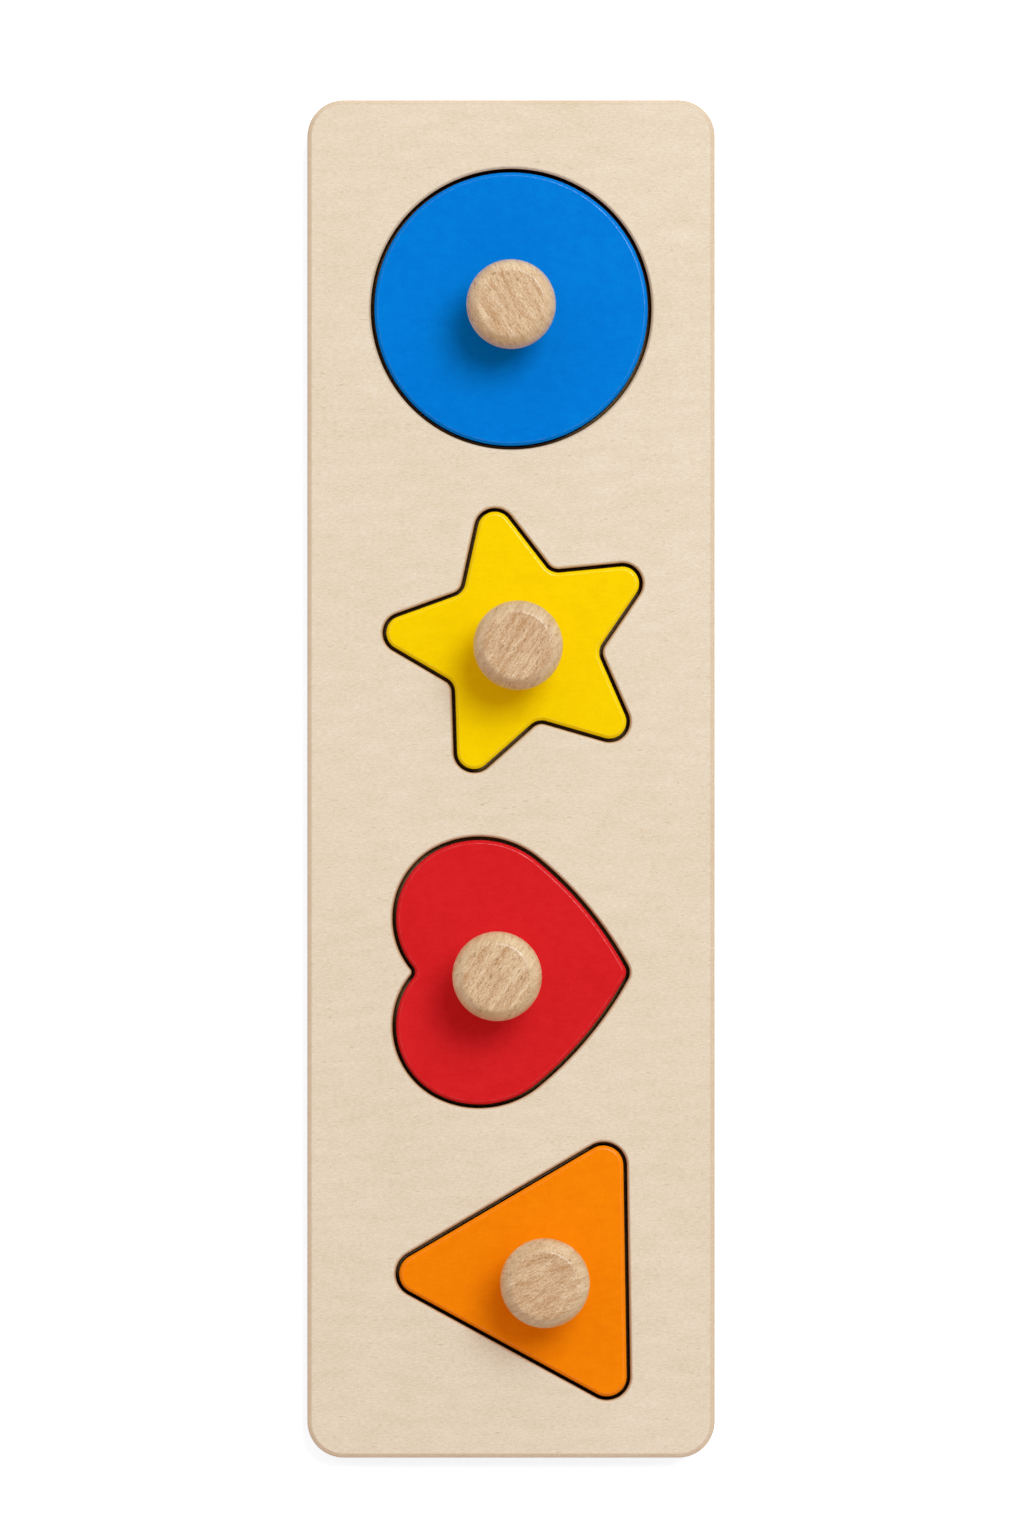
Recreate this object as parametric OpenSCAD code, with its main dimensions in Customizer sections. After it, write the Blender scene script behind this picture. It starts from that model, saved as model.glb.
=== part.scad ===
// Knob puzzle with four shapes: a long plywood board whose circle, star, heart and triangle lift out
// of their recesses by turned wooden knobs.
// X runs along the board towards the circle, Y across it towards the heart's lobes, and Z is up.
// The origin is the centre of the underside.

/* [Board] */
// Length of the board
board_len = 300; // [290:1:400]
// Width of the board
board_w = 90; // [80:1:140]
// Radius of the board's four corners
corner_r = 8; // [3:0.5:14]
// Thickness of the upper layer, which the recesses pass through
frame_t = 6; // [4:0.5:9]
// Thickness of the backing layer
backing_t = 3; // [2:0.5:6]
// Radius of the rounded upper rim
rim_r = 1.2; // [0.4:0.1:2]
// Radius of the eased rim round the underside
base_rim_r = 0.6; // [0.2:0.1:1]
// Radius of the eased recess mouths
mouth_r = 0.5; // [0.2:0.1:0.8]

/* [Pieces] */
// Gap between a piece and its recess, all the way round
gap = 0.8; // [0.4:0.1:1.2]
// Thickness of the four painted pieces
piece_t = 6; // [4.5:0.5:10]
// Radius of the eased upper edge of a piece
piece_rim_r = 0.55; // [0.2:0.05:0.8]
// Radius of the eased lower edge of a piece
piece_base_r = 0.3; // [0.1:0.05:0.6]

/* [Circle] */
// Radius of the circle
circle_r = 30.2; // [25:0.1:33]

/* [Star] */
// Radius to the star's points, before they are rounded
star_r = 34.9; // [30:0.1:38]
// Radius to the star's notches, before they are rounded
star_notch_r = 16.9; // [14:0.1:20]
// Radius of the rounded points
star_tip_r = 3.75; // [2:0.05:5]
// Radius of the rounded notches
star_notch_corner_r = 3.7; // [2:0.1:5]
// Turn of the star from the board's long axis, in degrees
star_angle = 12.7; // [-36:0.1:36]

/* [Heart] */
// Direction of the heart's point, in degrees from the board's long axis
heart_angle = -90; // [-100:0.1:-80]
// Radius of each lobe
lobe_r = 17; // [15:0.1:18]
// Distance between the centres of the lobes
lobe_spacing = 23.8; // [20:0.1:26]
// Radius of the shoulder, between lobe and flank
shoulder_r = 20; // [18.5:0.5:24]
// Radius of the long flank that runs down to the point
flank_r = 81.5; // [60:0.5:110]
// Direction in which the lobe meets the shoulder, in degrees from the point's direction
lobe_end_angle = 116; // [100:1:125]
// Direction in which the shoulder meets the flank, in degrees from the point's direction
shoulder_end_angle = 50.5; // [46:0.5:55]
// Radius of the rounded point
heart_tip_r = 2.5; // [1:0.1:4]
// Radius of the rounded notch between the lobes
heart_notch_r = 1.9; // [1.5:0.1:4]

/* [Triangle] */
// Length of the triangle's base, before its corners are rounded
triangle_w = 61.7; // [52:0.1:66]
// Height of the triangle over its base, before its corners are rounded
triangle_h = 54.4; // [46:0.1:62]
// Radius of the rounded corners
triangle_corner_r = 4.4; // [2:0.1:8]
// Direction of the corner over the base, in degrees from the board's long axis
triangle_angle = 90.9; // [80:0.1:100]

/* [Knobs] */
// Height of a knob
knob_h = 18; // [15:0.5:24]
// Radius of the knob's head at its widest
head_r = 9.8; // [9:0.1:11.5]
// Radius of the flat face on top of the head
face_r = 7.4; // [6.5:0.1:8]
// Radius of the curve that falls from the flat face to the widest part of the head
head_side_r = 8; // [6:0.5:10]
// Radius of the curve under the widest part of the head
head_under_r = 3; // [2.5:0.1:4]
// Radius of the waist under the head
waist_r = 6.2; // [5.5:0.1:6.5]
// Radius of the hollow curve of the waist
waist_hollow = 5.5; // [4.5:0.1:6]
// Radius of the knob's foot
foot_r = 7; // [6.6:0.1:8]

/* [Screws] */
// Length of a screw, head included
screw_len = 16; // [13:0.5:18]
// Radius of the plain shank, and of the thread over its crest
shank_r = 1.75; // [1.5:0.05:2.1]
// Radius of the thread at its root
root_r = 1.15; // [0.9:0.05:1.4]
// Pitch of the thread
thread_pitch = 1.4; // [1.1:0.1:1.8]
// Radius of the countersunk head
screw_head_r = 3.5; // [3:0.1:4]
// Height of the straight rim of the head
screw_rim_h = 0.35; // [0.2:0.05:0.6]
// Depth to which the head is sunk into the piece
screw_sunk = 0.3; // [0.2:0.05:0.5]
// Clearance of a screw in its holes, all round
screw_play = 0.06; // [0.03:0.01:0.1]
// Length of the screw's pointed end
point_len = 3; // [2:0.25:4]
// Width of an arm of the cross recess
cross_w = 0.9; // [0.6:0.05:1.1]
// Radius of the cross recess at its mouth
cross_r = 2.1; // [1.6:0.1:2.6]
// Depth of the cross recess
cross_depth = 1.6; // [1:0.1:2]

/* [Hidden] */
$fn = 96;

// Places of the middles of the four shapes, as shares of the board's length and width
circle_place_shares = [0.346, 0];
star_place_shares = [0.102, -0.004];
heart_place_shares = [-0.1425, 0];
triangle_place_shares = [-0.3625, -0.0045];
// Shifts of three knobs from their pieces' centres of area, as shares of the same two sizes
star_knob_shift = [-0.0021, 0.0068];
heart_knob_shift = [-0.0013, -0.0027];
triangle_knob_shift = [-0.0042, -0.0041];

board_top = backing_t + frame_t;
// Largest departure of an outline's facets from the true arc
facet_tol = 0.03;
// Number of facets across a rounded or eased edge
rim_steps = 4;
ease_steps = 3;
// Overrun of a cut past the face that it opens
over = 0.5;

// Height at which a screw's head has narrowed to its shank
neck_z = screw_rim_h + screw_head_r - shank_r;
// The plain part of the shank ends level with the top of the piece
plain_end = piece_t - screw_sunk;
// Room left in the knob past the screw's point
pilot_spare = 1;
pilot_depth = screw_len - plain_end + pilot_spare;
// Height of the thread's ridge, half its width, and the depth to which its foot is buried
ridge_h = shank_r - root_r;
ridge_half = 0.25 * thread_pitch;
ridge_root = 0.15;
// The ridge starts clear of the plain shank and fades out halfway down the point
thread_start = plain_end + 2 * ridge_half;
thread_end = screw_len - 0.5 * point_len;
// Number of sections of the ridge in one turn
thread_steps = 12;

// Number of points of the star
star_points = 5;

// Colours of the bare and the painted wood and of the screws
plywood = [0.906, 0.843, 0.753];
backing_wood = [0.867, 0.784, 0.671];
beech = [0.82, 0.695, 0.545];
zinc = [0.72, 0.73, 0.74];
blue_paint = [0.008, 0.475, 0.843];
yellow_paint = [0.996, 0.831, 0.027];
red_paint = [0.843, 0.137, 0.153];
orange_paint = [0.984, 0.514, 0.039];

// An outline is a list of arcs, each [centre, radius, first angle, last angle], which straight
// lines join. Angles that rise make a corner, and angles that fall make a notch. Growing the
// outline enlarges its corners and shrinks its notches, and leaves the centres where they are.
function dir(a) = [cos(a), sin(a)];
function heading(v) = atan2(v[1], v[0]);
function rises(arc) = arc[3] > arc[2];
function arc_steps(arc) = ceil(abs(arc[3] - arc[2]) / (2 * acos(1 - facet_tol / arc[1])));
function arc_points(arc, grow) =
    let (n = arc_steps(arc), r = arc[1] + (rises(arc) ? grow : -grow))
    [for (i = [0:n]) arc[0] + r * dir(arc[2] + (arc[3] - arc[2]) * i / n)];
function outline(arcs, grow = 0) = [for (arc = arcs) each arc_points(arc, grow)];

// Rounds the corner at q, on the way from p to s, with radius r. The way turns left at a corner
// and right at a notch.
function rounded_corner(p, q, s, r) =
    let (
        way_in = heading(q - p),
        bend = heading(s - q) - way_in,
        turn = bend > 180 ? bend - 360 : bend < -180 ? bend + 360 : bend,
        first = turn > 0 ? way_in - 90 : way_in + 90
    )
    [q - r / cos(turn / 2) * dir(first + turn / 2), r, first, first + turn];

// Outline of a polygon whose corners run anticlockwise, each [place, radius]
function rounded(corners) =
    let (n = len(corners))
    [
        for (i = [0:n - 1])
        rounded_corner(
            corners[(i + n - 1) % n][0],
            corners[i][0],
            corners[(i + 1) % n][0],
            corners[i][1]
        )
    ];

// Moves and turns a whole outline
function turned(p, a) = [p[0] * cos(a) - p[1] * sin(a), p[0] * sin(a) + p[1] * cos(a)];
function placed(arcs, at, turn = 0) =
    [for (arc = arcs) [at + turned(arc[0], turn), arc[1], arc[2] + turn, arc[3] + turn]];

// Middle of the box round a list of points
function column(points, k) = [for (p = points) p[k]];
function box_middle(points) =
    [for (k = [0, 1]) (min(column(points, k)) + max(column(points, k))) / 2];

// Centre of the area inside a list of points
function cross_of(p, q) = p[0] * q[1] - q[0] * p[1];
function sum_of(list) = list * [for (v = list) 1];
function area_centre(points) =
    let (
        n = len(points),
        next = [for (i = [0:n - 1]) points[(i + 1) % n]],
        parts = [for (i = [0:n - 1]) cross_of(points[i], next[i])],
        whole = sum_of(parts)
    )
    [for (k = [0, 1])
        sum_of([for (i = [0:n - 1]) (points[i][k] + next[i][k]) * parts[i]]) / (3 * whole)];

// Point of the board at a share of its length and a share of its width from its centre
function board_point(shares) = [shares[0] * board_len, shares[1] * board_w];

// Turns a shape and puts the middle of its box on a point of the board
function seated(arcs, turn, shares) =
    let (turned_arcs = placed(arcs, [0, 0], turn))
    placed(turned_arcs, board_point(shares) - box_middle(outline(turned_arcs)));

board_arcs = rounded([
    for (side = [[1, -1], [1, 1], [-1, 1], [-1, -1]])
    [[side[0] * board_len / 2, side[1] * board_w / 2], corner_r]
]);

star_arcs = rounded([
    for (i = [0:star_points - 1], k = [0, 1])
    let (a = 360 / star_points * (i + k / 2))
    k == 0 ? [star_r * dir(a), star_tip_r] : [star_notch_r * dir(a), star_notch_corner_r]
]);

// Triangle with the corner over its base towards +X
triangle_arcs = rounded([
    [[triangle_h, 0], triangle_corner_r],
    [[0, triangle_w / 2], triangle_corner_r],
    [[0, -triangle_w / 2], triangle_corner_r]
]);

// Heart along X with its point towards +X: on each side a lobe, a shoulder and a flank run into one
// another, the notch's arc touches both lobes, and the point's arc touches both flanks
function heart_arcs() =
    let (
        lobe = [0, lobe_spacing / 2],
        shoulder = lobe - (shoulder_r - lobe_r) * dir(lobe_end_angle),
        flank = shoulder - (flank_r - shoulder_r) * dir(shoulder_end_angle),
        tip_turn = asin(-flank[1] / (flank_r - heart_tip_r)),
        tip = [flank[0] + (flank_r - heart_tip_r) * cos(tip_turn), 0],
        notch_turn = asin(lobe[1] / (lobe_r + heart_notch_r)),
        notch = [lobe[0] - (lobe_r + heart_notch_r) * cos(notch_turn), 0]
    )
    [
        [tip, heart_tip_r, -tip_turn, tip_turn],
        [flank, flank_r, tip_turn, shoulder_end_angle],
        [shoulder, shoulder_r, shoulder_end_angle, lobe_end_angle],
        [lobe, lobe_r, lobe_end_angle, 180 + notch_turn],
        [notch, heart_notch_r, notch_turn, -notch_turn],
        [flipped(lobe), lobe_r, 180 - notch_turn, 360 - lobe_end_angle],
        [flipped(shoulder), shoulder_r, 360 - lobe_end_angle, 360 - shoulder_end_angle],
        [flipped(flank), flank_r, 360 - shoulder_end_angle, 360 - tip_turn]
    ];
function flipped(p) = [p[0], -p[1]];

star_shape = seated(star_arcs, star_angle, star_place_shares);
heart_shape = seated(heart_arcs(), heart_angle, heart_place_shares);
triangle_shape = seated(triangle_arcs, triangle_angle, triangle_place_shares);

// The circle's knob stands over its centre, and the other knobs close to the centre of their
// pieces' area, so that the pieces lift level
circle_centre = board_point(circle_place_shares);
star_centre = area_centre(outline(star_shape)) + board_point(star_knob_shift);
heart_centre = area_centre(outline(heart_shape)) + board_point(heart_knob_shift);
triangle_centre = area_centre(outline(triangle_shape)) + board_point(triangle_knob_shift);

// Solid through a stack of levels, each [height, growth] of the same outline
module lofted(arcs, levels, grow = 0) {
    rings = [
        for (level = levels)
        [for (p = outline(arcs, grow + level[1])) [p[0], p[1], level[0]]]
    ];
    n = len(rings[0]);
    top = (len(levels) - 1) * n;
    polyhedron(
        points = [for (ring = rings) each ring],
        faces = [
            [for (i = [0:n - 1]) i],
            [for (i = [0:n - 1]) top + n - 1 - i],
            for (k = [0:len(levels) - 2], i = [0:n - 1])
            let (j = (i + 1) % n)
            [k * n + i, (k + 1) * n + i, (k + 1) * n + j, k * n + j]
        ]
    );
}

// Levels of a rounded edge that rises from a lower face, and of one that ends at an upper face
function lower_round(z, r, steps) =
    [for (i = [0:steps]) let (a = 90 * i / steps) [z + r * (1 - cos(a)), -r * (1 - sin(a))]];
function upper_round(z, r, steps) =
    [for (i = [0:steps]) let (a = 90 * i / steps) [z - r * (1 - sin(a)), -r * (1 - cos(a))]];

module backing_board() {
    color(backing_wood)
    lofted(board_arcs, concat(lower_round(0, base_rim_r, ease_steps), [[backing_t, 0]]));
}

// Room for a piece, its gap and the eased mouth, cut from below the upper layer to above it
module recess(arcs) {
    mouth = upper_round(board_top, mouth_r, ease_steps);
    lofted(
        arcs,
        concat(
            [[backing_t - over, 0]],
            [for (level = mouth) [level[0], -level[1]]],
            [[board_top + over, mouth_r]]
        ),
        gap
    );
}

module round_recess() {
    wall_r = circle_r + gap;
    translate(circle_centre)
    rotate_extrude() {
        translate([0, backing_t - over]) square([wall_r, frame_t + 2 * over]);
        difference() {
            translate([wall_r - over, board_top - mouth_r])
            square([over + mouth_r, mouth_r + over]);
            translate([wall_r + mouth_r, board_top - mouth_r]) circle(mouth_r);
        }
    }
}

module frame_board() {
    color(plywood)
    difference() {
        lofted(
            board_arcs,
            concat([[backing_t, 0]], upper_round(board_top, rim_r, rim_steps))
        );
        round_recess();
        recess(star_shape);
        recess(heart_shape);
        recess(triangle_shape);
    }
}

// Hole and countersink for the screw, from the underside of a piece
module screw_hole() {
    hole_r = shank_r + screw_play;
    sink_r = screw_head_r + screw_play;
    seat_z = screw_sunk + screw_rim_h;
    rotate_extrude()
    polygon([
        [0, -over],
        [sink_r, -over],
        [sink_r, seat_z],
        [hole_r, seat_z + sink_r - hole_r],
        [hole_r, piece_t + over],
        [0, piece_t + over]
    ]);
}

// Painted piece with any outline but a round one
module insert(arcs, centre) {
    difference() {
        lofted(
            arcs,
            concat(
                lower_round(backing_t, piece_base_r, ease_steps),
                upper_round(backing_t + piece_t, piece_rim_r, ease_steps)
            )
        );
        translate([centre[0], centre[1], backing_t]) screw_hole();
    }
}

module round_insert() {
    low = piece_base_r;
    high = piece_rim_r;
    translate([circle_centre[0], circle_centre[1], backing_t])
    difference() {
        rotate_extrude() {
            square([circle_r - max(low, high), piece_t]);
            translate([0, low]) square([circle_r, piece_t - low - high]);
            square([circle_r - low, low]);
            translate([0, piece_t - high]) square([circle_r - high, high]);
            translate([circle_r - low, low]) circle(low);
            translate([circle_r - high, piece_t - high]) circle(high);
        }
        screw_hole();
    }
}

// Half section of a knob: a foot, a waist drawn in by a hollow curve, and a head that swells out of
// that curve and falls in from its widest part to the crisp edge of the flat face
module knob_section() {
    wide_z = knob_h - sqrt(pow(head_side_r, 2) - pow(face_r - head_r + head_side_r, 2));
    under = [head_r - head_under_r, wide_z];
    hollow_x = waist_r + waist_hollow;
    hollow = [
        hollow_x,
        wide_z - sqrt(pow(head_under_r + waist_hollow, 2) - pow(hollow_x - under[0], 2))
    ];
    intersection() {
        translate([0, wide_z]) square([head_r, knob_h - wide_z]);
        union() {
            square([face_r, knob_h]);
            translate([head_r - head_side_r, wide_z]) circle(head_side_r);
        }
    }
    intersection() {
        square([head_r, wide_z]);
        union() {
            translate(under) circle(head_under_r);
            difference() {
                union() {
                    square([foot_r, hollow[1]]);
                    polygon([[0, hollow[1]], hollow, under, [0, wide_z]]);
                }
                translate(hollow) circle(waist_hollow);
            }
        }
    }
}

module knob(centre) {
    color(beech)
    translate([centre[0], centre[1], backing_t + piece_t])
    difference() {
        rotate_extrude() knob_section();
        translate([0, 0, -over]) cylinder(r = shank_r + screw_play, h = pilot_depth + over);
    }
}

function core_radius(z) = root_r * min(1, (screw_len - z) / point_len);

// Ridge of the thread: a three-sided section wound round the core, which fades with the point
module thread() {
    turns = (thread_end - thread_start) / thread_pitch;
    steps = ceil(turns * thread_steps);
    sections = [
        for (i = [0:steps])
        let (
            z = thread_start + thread_pitch * i / thread_steps,
            core = core_radius(z),
            a = 360 * i / thread_steps
        )
        for (corner = [
            [core - ridge_root, z - ridge_half],
            [core + ridge_h * core / root_r, z],
            [core - ridge_root, z + ridge_half]
        ])
        [corner[0] * cos(a), corner[0] * sin(a), corner[1]]
    ];
    last = 3 * steps;
    polyhedron(
        points = sections,
        faces = [
            [2, 1, 0],
            [last, last + 1, last + 2],
            for (i = [0:3:last - 3], k = [0:2])
            let (j = (k + 1) % 3)
            each [[i + 3 + j, i + 3 + k, i + k], [i + j, i + 3 + j, i + k]]
        ]
    );
}

module cross_recess() {
    intersection() {
        union() {
            for (turn = [0, 90])
            rotate(turn) translate([-cross_r, -cross_w / 2, -over])
            cube([2 * cross_r, cross_w, cross_depth + over]);
        }
        rotate_extrude()
        polygon([
            [0, -over],
            [cross_r, -over],
            [cross_r, 0],
            [cross_w / 2, cross_depth],
            [0, cross_depth]
        ]);
    }
}

// Countersunk wood screw with its head down and its point up
module screw(centre) {
    color(zinc)
    translate([centre[0], centre[1], backing_t + screw_sunk]) {
        difference() {
            rotate_extrude()
            polygon([
                [0, 0],
                [screw_head_r, 0],
                [screw_head_r, screw_rim_h],
                [shank_r, neck_z],
                [shank_r, plain_end],
                [root_r, plain_end],
                [root_r, screw_len - point_len],
                [0, screw_len]
            ]);
            cross_recess();
        }
        thread();
    }
}

module circle_insert() {
    color(blue_paint) round_insert();
}

module circle_knob() {
    knob(circle_centre);
}

module circle_screw() {
    screw(circle_centre);
}

module star_insert() {
    color(yellow_paint) insert(star_shape, star_centre);
}

module star_knob() {
    knob(star_centre);
}

module star_screw() {
    screw(star_centre);
}

module heart_insert() {
    color(red_paint) insert(heart_shape, heart_centre);
}

module heart_knob() {
    knob(heart_centre);
}

module heart_screw() {
    screw(heart_centre);
}

module triangle_insert() {
    color(orange_paint) insert(triangle_shape, triangle_centre);
}

module triangle_knob() {
    knob(triangle_centre);
}

module triangle_screw() {
    screw(triangle_centre);
}

backing_board();
frame_board();
circle_insert();
circle_knob();
circle_screw();
star_insert();
star_knob();
star_screw();
heart_insert();
heart_knob();
heart_screw();
triangle_insert();
triangle_knob();
triangle_screw();
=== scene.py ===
"""Knob puzzle: two plywood boards, four painted pieces, their turned knobs and their screws."""

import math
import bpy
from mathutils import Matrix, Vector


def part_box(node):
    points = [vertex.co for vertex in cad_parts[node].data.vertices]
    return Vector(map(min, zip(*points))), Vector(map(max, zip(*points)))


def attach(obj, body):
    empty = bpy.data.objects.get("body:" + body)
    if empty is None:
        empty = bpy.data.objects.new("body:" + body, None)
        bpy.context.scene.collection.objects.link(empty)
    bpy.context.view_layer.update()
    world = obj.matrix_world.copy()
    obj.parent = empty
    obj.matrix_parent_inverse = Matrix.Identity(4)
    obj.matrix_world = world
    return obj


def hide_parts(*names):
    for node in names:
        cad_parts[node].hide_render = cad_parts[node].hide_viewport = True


bl_info = {
    "name": "Knob Puzzle",
    "version": (1, 0, 0),
    "blender": (4, 5, 0),
    "location": "View3D > Sidebar > Puzzle",
    "description": "Dresses a wooden puzzle whose painted shapes lift out by turned knobs",
    "category": "Object",
}

import bmesh
import bpy
from bpy.props import FloatProperty, FloatVectorProperty, PointerProperty
from mathutils import Vector

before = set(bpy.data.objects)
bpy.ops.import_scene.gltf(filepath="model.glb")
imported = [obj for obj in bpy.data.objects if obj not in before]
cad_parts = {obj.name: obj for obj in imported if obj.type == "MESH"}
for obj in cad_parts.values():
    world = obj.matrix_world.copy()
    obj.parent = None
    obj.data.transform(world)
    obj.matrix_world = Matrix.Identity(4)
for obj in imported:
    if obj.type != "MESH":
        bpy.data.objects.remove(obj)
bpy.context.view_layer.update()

MM = 0.001
SHAPES = ("circle", "star", "heart", "triangle")
CORNERS = ((1, -1), (1, 1), (-1, 1), (-1, -1))

# Finest step of an outline's arc, in degrees, and its largest departure from the true arc
ARC_STEP = 4.0
ARC_TOLERANCE = 0.004 * MM
# Outline points closer than this are one point
SAME_POINT = 0.01 * MM
# Facets across a rounded edge, round a knob and round a screw
ROUND_STEPS = 8
KNOB_SEGMENTS = 96
SCREW_SEGMENTS = 32
# Radii of a bevel's corners, at the face and at the side
RIM_CORNERS = (0.5 * MM, 0.35 * MM)
MOUTH_CORNERS = (0.45 * MM, 0.12 * MM)
EDGE_CORNERS = (0.55 * MM, 0.15 * MM)
# Strip of flat face that keeps the shading of a rounded edge off the face beside it
FACE_MARGIN = 0.12 * MM
# Faces that meet at more than this have a sharp edge
SHARP_ANGLE = math.radians(32)
# Air between a piece and the floor that it lies on
LYING_GAP = 0.02 * MM

# Burn marks, from 0, clean wood, to 1, char, of the rim, of a recess wall's corner, and of the
# mouth with the fringe that takes up part of it. Sanding left little of this at the circle.
RIM_BURN = (0.13, 0.07)
WALL_BURN = (1.0, 0.6)
FRINGE_BURN = 0.4
EASE_BURN = 0.06
FRINGE_REACH = 0.2
SANDED = 0.35
# How far a piece is burnt in from its lower edge
UNDER_BURN = 1.6 * MM

# Radius of the circle on which a turned section is carried round
TURNING_RADIUS = 10 * MM
# Points of a swept mesh closer than this are merged
WELD = 0.002 * MM
# On a screw: break of the head's edge, run-out of the shank, radius of the tip, depth of the
# thread's foot in the core, and what is left of an arm of the cross at its bottom
HEAD_BREAK = 0.08 * MM
RUN_OUT = 0.3 * MM
TIP_RADIUS = 0.04 * MM
THREAD_FOOT = 0.15 * MM
DEEP_ARM = 0.06 * MM

# The paint ends this far under the top, fades over this height and wanders by this much
PAINT_SIDE = 0.6 * MM
PAINT_FADE = 0.12 * MM
PAINT_WANDER = 0.5 * MM
# Middle of a knob's growth rings, from its axis, their distance and how much they wander
PITH = (6 * MM, 45 * MM, 0.0)
RING_WIDTH = 3.1 * MM
RING_WANDER = 2.5 * MM

# Half the width of the floor
FLOOR_REACH = 4.0


def node_size(node):
    low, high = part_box(node)
    return high - low


def node_middle(node):
    low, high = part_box(node)
    return (low + high) / 2


BOARD_SIZE = node_size("frame_board")
BOARD_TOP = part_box("frame_board")[1].z
FLOOR_OF_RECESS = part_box("backing_board")[1].z
PIECE_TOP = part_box("circle_insert")[1].z
KNOB_HEIGHT = node_size("circle_knob").z
SCREW_LENGTH = node_size("circle_screw").z


# Settings that a user may change

def length(name, description, default_mm, lowest=0.0):
    return FloatProperty(
        name=name, description=description, default=default_mm * MM, min=lowest, precision=5,
        subtype="DISTANCE", unit="LENGTH",
    )


def angle(name, description, default_degrees):
    return FloatProperty(
        name=name, description=description, default=math.radians(default_degrees),
        subtype="ANGLE", unit="ROTATION",
    )


def light(name, description, *channels):
    return FloatVectorProperty(
        name=name, description=description, default=channels, min=0.0, max=1.0, size=3,
        subtype="COLOR",
    )


def linear(level):
    level /= 255
    return level / 12.92 if level <= 0.04045 else ((level + 0.055) / 1.055) ** 2.4


def colour(name, description, *levels):
    """Colour given by its red, green and blue levels, from 0 to 255."""
    return light(name, description, *(linear(level) for level in levels))


class BoardSettings(bpy.types.PropertyGroup):
    """Sizes and colours of the two boards"""

    corner_radius: length("Corner radius", "Radius of the board's four corners", 8)
    rim_width: length("Rim width", "Width of the bevelled upper rim", 1)
    rim_slope: angle("Rim slope", "Slope of the bevelled upper rim", 24)
    base_rim_radius: length("Base rim radius", "Radius of the eased rim underneath", 0.6)
    mouth_width: length("Mouth width", "Width of the eased recess mouths", 0.7)
    mouth_slope: angle("Mouth slope", "Slope of the eased recess mouths", 48)
    gap: length("Gap", "Gap between a piece and its recess", 0.8)
    ply: length("Ply", "Thickness of one layer of veneer", 1.2)
    pale_wood: colour("Pale wood", "Palest tone of the face veneer", 243, 228, 208)
    deep_wood: colour("Deep wood", "Deepest tone of the face veneer", 222, 202, 173)
    end_wood: colour("End grain", "Tone of the layers that end at an edge", 186, 152, 112)
    toast: colour("Toast", "Tone of the wood beside the burnt walls", 186, 134, 82)
    char: colour("Char", "Tone of the burnt recess walls", 52, 24, 8)


class PieceSettings(bpy.types.PropertyGroup):
    """Sizes and colours of the four painted pieces"""

    circle_radius: length("Circle radius", "Radius of the circle", 30.2)
    star_radius: length("Star radius", "Radius to the star's sharp points", 34.9)
    star_notch: length("Star notch radius", "Radius to the star's sharp notches", 16.9)
    star_tip: length("Star tip", "Radius of the rounded points", 3.75)
    star_hollow: length("Star hollow", "Radius of the rounded notches", 3.7)
    star_turn: angle("Star turn", "Turn of the star on the board", 12.7)
    lobe_radius: length("Lobe radius", "Radius of each lobe of the heart", 17)
    lobe_spacing: length("Lobe spacing", "Distance between the lobes' centres", 23.8)
    shoulder_radius: length("Shoulder radius", "Radius between lobe and flank", 20)
    flank_radius: length("Flank radius", "Radius of the heart's long flanks", 81.5)
    lobe_end: angle("Lobe end", "Direction where lobe meets shoulder", 116)
    shoulder_end: angle("Shoulder end", "Direction where shoulder meets flank", 50.5)
    heart_tip: length("Heart tip", "Radius of the heart's rounded point", 2.5)
    heart_notch: length("Heart notch", "Radius of the notch between the lobes", 1.9)
    heart_turn: angle("Heart turn", "Direction of the heart's point", -90)
    triangle_base: length("Triangle base", "Base of the sharp triangle", 61.7)
    triangle_height: length("Triangle height", "Height of the sharp triangle", 54.4)
    triangle_corner: length("Triangle corner", "Radius of the rounded corners", 4.4)
    triangle_turn: angle("Triangle turn", "Direction of the corner over the base", 90.9)
    edge_width: length("Edge width", "Width of a piece's upper bevel", 0.85)
    edge_slope: angle("Edge slope", "Slope of a piece's upper bevel", 40)
    base_radius: length("Base edge radius", "Radius of a piece's lower edge", 0.3)
    circle_paint: colour("Circle paint", "Paint of the circle", 0, 122, 219)
    star_paint: colour("Star paint", "Paint of the star", 255, 212, 0)
    heart_paint: colour("Heart paint", "Paint of the heart", 220, 30, 34)
    triangle_paint: colour("Triangle paint", "Paint of the triangle", 255, 133, 4)


class KnobSettings(bpy.types.PropertyGroup):
    """Sizes and colours of the turned knobs"""

    head_radius: length("Head radius", "Radius of the head at its widest", 9.8)
    face_radius: length("Face radius", "Radius of the flat face on top", 7.4)
    side_radius: length("Side radius", "Radius of the curve beside the face", 8)
    under_radius: length("Under radius", "Radius of the curve under the widest part", 3)
    waist_radius: length("Waist radius", "Radius of the waist under the head", 6.2)
    hollow_radius: length("Hollow radius", "Radius of the waist's hollow curve", 5.5)
    foot_radius: length("Foot radius", "Radius of the foot", 7)
    foot_edge: length("Foot edge", "Radius of the foot's eased edges", 0.3)
    arris: length("Arris", "Radius of the worn arris round the face", 1.2)
    pilot_radius: length("Pilot radius", "Radius of the hole for the screw", 1.81)
    pilot_depth: length("Pilot depth", "Depth of the hole for the screw", 11.3)
    pale_wood: colour("Pale end grain", "Palest tone of the face", 243, 216, 181)
    deep_wood: colour("Deep end grain", "Deepest tone of the face", 184, 137, 90)
    pale_side: colour("Pale side grain", "Palest tone of the head's side", 238, 213, 176)
    deep_side: colour("Deep side grain", "Deepest tone of the head's side", 196, 159, 116)


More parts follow.
